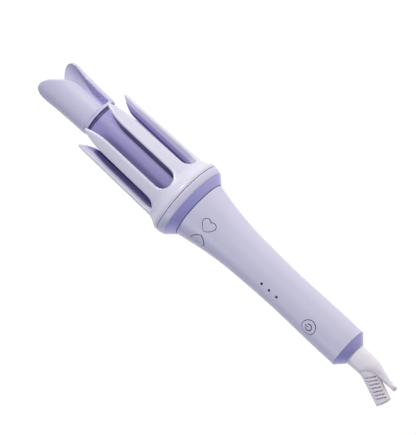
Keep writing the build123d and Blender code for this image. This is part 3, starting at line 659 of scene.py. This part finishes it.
def make_cage():
    """The guard cage: a flanged ring with six long tapered prongs."""
    rows = []
    for angle in range(15, 91, 15):  # round the foot of the windows
        rows.append(WINDOW_FOOT + WINDOW_HALF * (1 - math.cos(math.radians(angle))))
    rows += SHAFT_ROWS
    outside = [(s, r) for s, r in CAGE_OUTSIDE if s < WINDOW_FOOT][::2]
    ring_outline = [(WINDOW_FOOT, value_at(CAGE_OUTSIDE, WINDOW_FOOT))]
    ring_outline += reversed(outside)
    ring_outline += [*CAGE_FOOT, (WINDOW_FOOT, value_at(CAGE_INSIDE, WINDOW_FOOT))]
    mesh = fingered_ring(
        "cage", PRONGS, 0.0, PRONG_PLACES, ring_outline, rows, prong_outside, prong_inside
    )
    cage = piece("cage", mesh, CAGE_SKIN, "handle", "pale_plastic", "guard_cage")
    return subdivide(cage, 2)


make_cage()

CAP_R = 17.8
CAP_WALL = 2.2
PETAL_ROOT = 111.0
TIP_END = 161.0
SLOT_HALF = 6.2
SLOT_FOOT_R = 1.0
FIRST_PETAL = -10.0  # the turn of one petal's centre line
TONGUE = 27.0  # the length over which a petal rounds off to its tip
TONGUE_HALF = 17.5
TONGUE_BLEND = 12.0  # how softly the slot's side passes into the tongue, in degrees
PETAL_LEAST_TURN = 4.0
PETAL_EDGE = 1.3  # rounding of the petals' outer edges
PETAL_EDGE_RUN = 3.0  # the length over which that rounding grows from the petals' root
PETAL_PLACES = (-1.0, -0.98, -0.945, -0.86, -0.66, -0.35, 0.0, 0.35, 0.66, 0.86, 0.945, 0.98, 1.0)
PETAL_LEAN = smooth_line([(PETAL_ROOT, 0.0), (128.0, 0.6), (145.0, 1.6), (TIP_END, 3.0)], 8)
PETAL_ROWS = [111.06, 111.3, 112.0, 114.0, 119.0, 125.0, 130.0, 134.0, 137.0, 140.0, 143.0]
TIP_ROWS_LENGTH = 16.0
CAP_FOOT = [  # the cap's section from its outer edge, round its underside and bore, to its floor
    (110.2, CAP_R),
    (109.0, CAP_R),
    (108.7, 17.5),
    (108.7, 15.6),
    (108.7, 4.0),
    (108.8, 3.4),
    (110.6, 3.4),
    (110.9, 3.7),
    (111.0, 8.0),
    (111.0, 13.6),
]


def softer_minimum(first, second, softness):
    """The lesser of two values, with the change from one to the other rounded off."""
    share = min(max(0.5 + 0.5 * (second - first) / softness, 0.0), 1.0)
    return second + (first - second) * share - softness * share * (1 - share)


def petal_half_turn(station):
    """How far round its centre line a petal reaches: to the slot, or to its rounded tongue."""
    lean = value_at(PETAL_LEAN, station)
    slot = SLOT_HALF
    short = SLOT_FOOT_R - (station - PETAL_ROOT)
    if short > 0:
        slot -= SLOT_FOOT_R - math.sqrt(max(SLOT_FOOT_R**2 - short**2, 0.0))
    half = math.degrees(math.acos((slot - lean) / (CAP_R - CAP_WALL / 3)))
    into = max((station - (TIP_END - TONGUE)) / TONGUE, 0.0)
    tongue_half = TONGUE_HALF * math.sqrt(max(1 - into**2, 0.0))
    tongue = math.degrees(math.asin(tongue_half / CAP_R))
    return max(softer_minimum(half, tongue, TONGUE_BLEND), PETAL_LEAST_TURN)


def petal_point(station, place, turn, radius):
    """A point of a petal that has leaned outward from the tool's axis."""
    lean = value_at(PETAL_LEAN, station)
    around = turn + petal_half_turn(station) * place
    return on_axis(station) + clock(turn) * (lean * MM) + clock(around) * (radius * MM)


def petal_outside(station, place, turn):
    """A point of a petal's outer face, with its edges rounded off."""
    to_side = math.radians(petal_half_turn(station)) * CAP_R * (1 - abs(place))
    ease = min(1.0, (station - PETAL_ROOT) / PETAL_EDGE_RUN)
    drop = fillet(min(to_side, TIP_END - station), PETAL_EDGE) * ease
    return petal_point(station, place, turn, CAP_R - drop)


def petal_inside(station, place, turn):
    """A point of a petal's inner face."""
    return petal_point(station, place, turn, CAP_R - CAP_WALL)


def make_tip_cap():
    """The cap on the barrel's tip: a floored ring with two petals and a slot between them."""
    rows = list(PETAL_ROWS)
    for angle in range(8, 85, 9):  # closer and closer toward the rounded tip
        rows.append(TIP_END - TIP_ROWS_LENGTH * (1 - math.sin(math.radians(angle))))
    rows.append(TIP_END - 0.03)
    ring_outline = [(PETAL_ROOT, CAP_R), *CAP_FOOT, (PETAL_ROOT, CAP_R - CAP_WALL)]
    mesh = fingered_ring(
        "petal_cap", 2, FIRST_PETAL, PETAL_PLACES, ring_outline, rows, petal_outside, petal_inside
    )
    cap = piece("petal_cap", mesh, CAP_SKIN, "barrel", "pale_plastic", "tip_cap")
    return subdivide(cap, 2)


make_tip_cap()

# ---------------- turned rings and the barrel


def turned_piece(name, outline, corner, body, slot, *replaced):
    """A lathed piece with rounded corners."""
    mesh = lathe(name, rounded(outline, corner))
    return piece(name, mesh, MATERIALS[slot], body, slot, *replaced, sharp=50)


def ring_section(low, high, inner, outer):
    """The outline of a plain ring between two stations."""
    return [(low, outer), (high, outer), (high, inner), (low, inner)]


turned_piece(
    "collar",
    [(7.15, 32.4), (9.0, 33.2), (11.5, 33.85), (13.45, 34.0), (13.45, 28.0), (7.15, 28.0)],
    0.35,
    "handle",
    "pale_plastic",
    "collar_ring",
)
turned_piece(
    "band",
    [(0.5, 26.25), (7.12, 32.35), (7.12, 23.0), (0.5, 23.0)],
    0.1,
    "handle",
    "violet_plastic",
    "accent_band",
)
# a dark ring in the seam between band and handle: painted shade in the gap
turned_piece(
    "band_seam_shade",
    [(0.0, 25.1), (0.6, 25.5), (0.6, 24.0), (0.0, 24.0)],
    0.1,
    "handle",
    "dark_seal",
)
turned_piece(
    "barrel",
    ring_section(13.5, 106.0, 14.7, 16.0),
    0.4,
    "barrel",
    "violet_coating",
    "barrel_tube",
)
turned_piece(
    "barrel_end_ring",
    ring_section(106.2, 108.6, 8.0, 15.4),
    0.1,
    "barrel",
    "dark_seal",
    "tip_seal_ring",
)
turned_piece(
    "tail_band",
    [
        (-162.45, 17.1),
        (-169.0, 10.3),
        (-169.0, 9.3),
        (-164.0, 9.3),
        (-164.0, 12.2),
        (-162.45, 12.2),
    ],
    0.3,
    "handle",
    "violet_plastic",
    "tail_ring",
)

# ---------------- cord boot and strain relief

TAIL_END = -169.1
BOOT_TURN = -58.0
BOOT_SIDE = clock(BOOT_TURN)  # the side that the sleeve bends to
BOOT_FLAT = clock(BOOT_TURN + 90)  # the tab's wide direction
EYE_BEHIND = 38.7
EYE_ASIDE = -1.5
EYE_R = 2.5
EYE_CUT = 6.0  # half the length of what cuts the eye, more than the tab's thickness


def boot_point(behind, aside):
    """A point behind the tail ring, off the axis toward the side that the boot bends to."""
    return on_axis(TAIL_END - behind) + BOOT_SIDE * (aside * MM)


def boot_direction(tilt):
    """A unit vector toward the tail, tilted to the boot's side."""
    angle = math.radians(tilt)
    return Vector((-math.cos(angle), 0, 0)) + BOOT_SIDE * math.sin(angle)


def sweep(name, sections, segments=56):
    """Skins elliptical sections (behind, aside, tilt, half flat, half deep) along the boot."""
    points, faces = [], []
    for behind, aside, tilt, flat, deep in sections:
        centre = boot_point(behind, aside)
        across = boot_direction(tilt + 90)
        for segment in range(segments):
            angle = 2 * math.pi * segment / segments
            offset = BOOT_FLAT * (flat * MM * math.cos(angle))
            offset += across * (deep * MM * math.sin(angle))
            points.append(centre + offset)
    for row in range(len(sections) - 1):
        for segment in range(segments):
            after = (segment + 1) % segments
            base, ahead = row * segments, (row + 1) * segments
            faces.append((base + segment, base + after, ahead + after, ahead + segment))
    faces.append(tuple(range(segments)))
    faces.append(tuple(range((len(sections) - 1) * segments, len(sections) * segments)))
    return mesh_from(name, points, faces)


def rod_mesh(start, end, radius, segments=48):
    """A closed cylinder between two points."""
    direction = (end - start).normalized()
    beside = direction.orthogonal().normalized()
    third = direction.cross(beside)
    points, faces = [], []
    for centre in (start, end):
        for segment in range(segments):
            angle = 2 * math.pi * segment / segments
            points.append(centre + (beside * math.cos(angle) + third * math.sin(angle)) * radius)
    for segment in range(segments):
        after = (segment + 1) % segments
        faces.append((segment, after, segments + after, segments + segment))
    faces.append(tuple(range(segments)))
    faces.append(tuple(range(segments, 2 * segments)))
    return mesh_from("cutter", points, faces)


def carved(mesh, cutter):
    """The mesh with the cutter's shape taken out of it."""
    body = bpy.data.objects.new("body", mesh)
    tool = bpy.data.objects.new("tool", cutter)
    for thing in (body, tool):
        bpy.context.scene.collection.objects.link(thing)
    modifier = body.modifiers.new("carve", "BOOLEAN")
    modifier.operation = "DIFFERENCE"
    modifier.solver = "EXACT"
    modifier.object = tool
    bpy.context.view_layer.update()
    evaluated = body.evaluated_get(bpy.context.evaluated_depsgraph_get())
    result = bpy.data.meshes.new_from_object(evaluated)
    for thing in (body, tool):
        bpy.data.objects.remove(thing)
    result.materials.clear()
    return result


# from the neck in the tail ring to the tab's rounded end, as sweep takes them
BOOT_SECTIONS = smooth_line(
    [
        (-5.0, 0.0, 0.0, 9.1, 9.1),
        (0.3, 0.0, 0.0, 9.2, 9.2),
        (8.0, -0.3, 3.0, 9.2, 9.1),
        (14.0, -0.3, 5.0, 9.1, 8.9),
        (18.0, -1.4, 7.0, 8.7, 7.4),
        (22.0, -2.4, 8.0, 7.8, 5.3),
        (27.0, -2.6, 7.0, 6.4, 3.7),
        (32.0, -2.1, 5.0, 5.4, 2.8),
        (37.0, -1.6, 2.0, 4.9, 2.3),
        (EYE_BEHIND, EYE_ASIDE, 1.0, 4.85, 2.25),
        (41.0, -1.5, 0.0, 4.3, 2.2),
        (42.6, -1.5, 0.0, 2.9, 2.0),
        (43.4, -1.5, 0.0, 1.1, 1.4),
    ],
    4,
)


def make_boot():
    """The boot, a round neck that flattens into the hanging tab with its eye."""
    eye_middle = boot_point(EYE_BEHIND, EYE_ASIDE)
    reach = BOOT_SIDE * (EYE_CUT * MM)
    eye = rod_mesh(eye_middle - reach, eye_middle + reach, EYE_R * MM)
    mesh = carved(sweep("boot", BOOT_SECTIONS), eye)
    plastic = MATERIALS["boot_plastic"]
    return piece("boot", mesh, plastic, "cord_swivel", "boot_plastic", "swivel_boot", sharp=40)


make_boot()

STRAIN_TILT = 20.5
STRAIN_ROOT = (16.3, 2.2)
STRAIN_LENGTH = 28.8
STRAIN_R = 6.4
CORD_BORE_R = 3.5
CORD_BORE_DEPTH = 12.0
SLOTS = 7
SLOT_PITCH = 3.05
SLOT_WIDTH = 1.4
SLOT_DEPTH = 1.4
SLOT_SLANT = 16.0
SLOT_LIP = 0.12  # how far a slot's rim is rounded down, and its wall leans in
SLOT_RIM = 0.15  # the width of the rim beside the slot
FIRST_SLOT = 6.4
SPINE_FROM = 4.1  # the slots end here, beside the two solid spines
SLEEVE_SEGMENTS = 96

# rows of the sleeve: reach from its root, radius, whether slotted, and how fully it slants
SLEEVE_ROOT = [(-9.0, 7.6, 0, 0), (-5.0, 7.4, 0, 0), (-1.0, 7.0, 0, 0), (2.5, 6.6, 0, 0.3)]
SLEEVE_END = [
    (STRAIN_LENGTH - 0.5, STRAIN_R, 0, 0),
    (STRAIN_LENGTH - 0.05, STRAIN_R - 0.35, 0, 0),
    (STRAIN_LENGTH - 0.05, CORD_BORE_R + 0.3, 0, 0),
    (STRAIN_LENGTH - 0.4, CORD_BORE_R, 0, 0),
    (STRAIN_LENGTH - CORD_BORE_DEPTH, CORD_BORE_R, 0, 0),
]


def make_strain_relief():
    """The sleeve, from a root that swells into the boot to its open end, with slanted slots."""
    axis = boot_direction(STRAIN_TILT)
    side = boot_direction(STRAIN_TILT + 90)
    root = boot_point(*STRAIN_ROOT)
    slots = [FIRST_SLOT + number * SLOT_PITCH for number in range(SLOTS)]
    slant = math.tan(math.radians(SLOT_SLANT))
    rows = list(SLEEVE_ROOT)
    for start in slots:
        end = start + SLOT_WIDTH
        rows += [(start - SLOT_RIM, STRAIN_R, 0, 1), (start, STRAIN_R - SLOT_LIP, 0, 1)]
        rows += [(start + SLOT_LIP, STRAIN_R, 1, 1), (end - SLOT_LIP, STRAIN_R, 1, 1)]
        rows += [(end, STRAIN_R - SLOT_LIP, 0, 1), (end + SLOT_RIM, STRAIN_R, 0, 1)]
    rows += SLEEVE_END
    segments = SLEEVE_SEGMENTS
    points, faces = [], []
    for reach, radius, slotted, leaning in rows:
        for segment in range(segments):
            angle = 2 * math.pi * segment / segments
            toward_bend = math.cos(angle)
            depth = SLOT_DEPTH if slotted and STRAIN_R * abs(toward_bend) < SPINE_FROM else 0.0
            here = radius - depth
            along = reach - here * toward_bend * slant * leaning
            across = side * toward_bend + BOOT_FLAT * math.sin(angle)
            points.append(root + axis * (along * MM) + across * (here * MM))
    for row in range(len(rows) - 1):
        for segment in range(segments):
            after = (segment + 1) % segments
            base, ahead = row * segments, (row + 1) * segments
            faces.append((base + segment, base + after, ahead + after, ahead + segment))
    faces.append(tuple(range((len(rows) - 1) * segments, len(rows) * segments)))
    faces.append(tuple(range(segments)))
    mesh = mesh_from("cord_sleeve", points, faces)
    rubber = MATERIALS["boot_rubber"]
    return piece(
        "cord_sleeve", mesh, rubber, "cord_swivel", "boot_rubber", "strain_relief", sharp=35
    )


make_strain_relief()

# ---------------- marks on the power button

POWER_STATION = -130.0
POWER_FACE_R = 17.3  # how far the button's face is from the axis
RAY_FROM_R = 25.0
INK_LIFT = 0.04
MARK_RING = (2.3, 3.15)  # the ring's inner and outer radius
MARK_OPENING = 40  # half of the ring's opening, in degrees
MARK_STEPS = 40
MARK_BAR = (0.3, 3.6)  # where the bar begins and ends, forward of the button's middle
MARK_BAR_HALF = 0.4
POWER_FACE = BVHTree.FromObject(
    frame["nodes"]["power_button"], bpy.context.evaluated_depsgraph_get()
)


def power_mark_point(forward, across):
    """A point just over the power button's face, forward toward the petals and across it."""
    turn = -math.degrees(across / POWER_FACE_R)
    start = spot(POWER_STATION + forward, turn, RAY_FROM_R)
    hit, _, _, _ = POWER_FACE.ray_cast(start, -clock(turn))
    return hit + clock(0) * (INK_LIFT * MM)


def make_power_mark():
    """The usual power symbol, an open ring and a bar, printed on the button."""
    points, faces = [], []

    def strip(pairs):
        """A band of faces between pairs of (forward, across) places."""
        start = len(points)
        for left, right in pairs:
            points.extend([power_mark_point(*left), power_mark_point(*right)])
        for index in range(start, len(points) - 2, 2):
            faces.append((index, index + 1, index + 3, index + 2))

    ring = []
    for step in range(MARK_STEPS + 1):
        angle = math.radians(MARK_OPENING + (360 - 2 * MARK_OPENING) * step / MARK_STEPS)
        ring.append([(r * math.cos(angle), r * math.sin(angle)) for r in MARK_RING])
    strip(ring)
    strip([((place, -MARK_BAR_HALF), (place, MARK_BAR_HALF)) for place in MARK_BAR])
    mesh = mesh_from("power_mark", points, faces)
    return piece("power_mark", mesh, GROOVE, "main_button", "dark_seal")


make_power_mark()

# ---------------- stage and light


FLOOR_HALF = 3
FLOOR_DROP = 0.0002  # keeps the floor just clear of the tool
FLOOR_GLOW = 0.95  # lights the floor evenly, so that it shows white with hardly a shadow
SURROUND_STRENGTH = 0.22


def add_light(name, direction, distance, size, power, colour):
    """A square soft light that looks at the tool from a direction."""
    data = bpy.data.lights.new(name, "AREA")
    data.shape = "SQUARE"
    data.size = size
    data.energy = power
    data.color = colour
    lamp = bpy.data.objects.new(name, data)
    centre = on_axis(0)
    lamp.location = centre + direction.normalized() * distance
    lamp.rotation_euler = direction.to_track_quat("Z", "Y").to_euler()
    bpy.context.scene.collection.objects.link(lamp)
    return lamp


def make_stage():
    """A plain pale floor, a pale surround and soft studio lights."""
    half = FLOOR_HALF
    corners = [(-half, -half, 0), (half, -half, 0), (half, half, 0), (-half, half, 0)]
    floor_mesh = mesh_from("floor", corners, [(0, 1, 2, 3)])
    floor_mesh.transform(Matrix.Translation((0, 0, cad_bounds[0].z - FLOOR_DROP)))
    floor = bpy.data.objects.new("floor", floor_mesh)
    bpy.context.scene.collection.objects.link(floor)
    skin = Shading("floor", srgb(112, 112, 116), 0.8, specular=0.1)
    skin.vary_colour(0.2, 0.3, srgb(104, 104, 108))
    skin.shader.inputs["Emission Color"].default_value = (1, 0.99, 0.97, 1)
    skin.shader.inputs["Emission Strength"].default_value = FLOOR_GLOW
    floor_mesh.materials.append(skin.material)

    world = bpy.data.worlds.new("surround")
    world.use_nodes = True
    background = world.node_tree.nodes["Background"]
    background.inputs["Color"].default_value = srgb(236, 236, 255)
    background.inputs["Strength"].default_value = SURROUND_STRENGTH
    bpy.context.scene.world = world

    facing = clock(VIEW_TURN)
    beside = clock(VIEW_TURN + 90)
    tipward = Vector((1, 0, 0))
    add_light("key", facing + beside * 0.31 + tipward * 0.65, 1.3, 0.12, 12.3, (1.0, 0.985, 0.9))
    add_light("side_fill", facing * 0.25 + beside - tipward * 0.3, 1.1, 0.7, 1.6, (1.0, 0.99, 0.9))
    add_light("low_fill", facing * 0.45 - beside - tipward * 0.3, 1.1, 0.5, 3.4, (0.86, 0.89, 1.0))
    bpy.context.scene.view_settings.view_transform = "Standard"


make_stage()
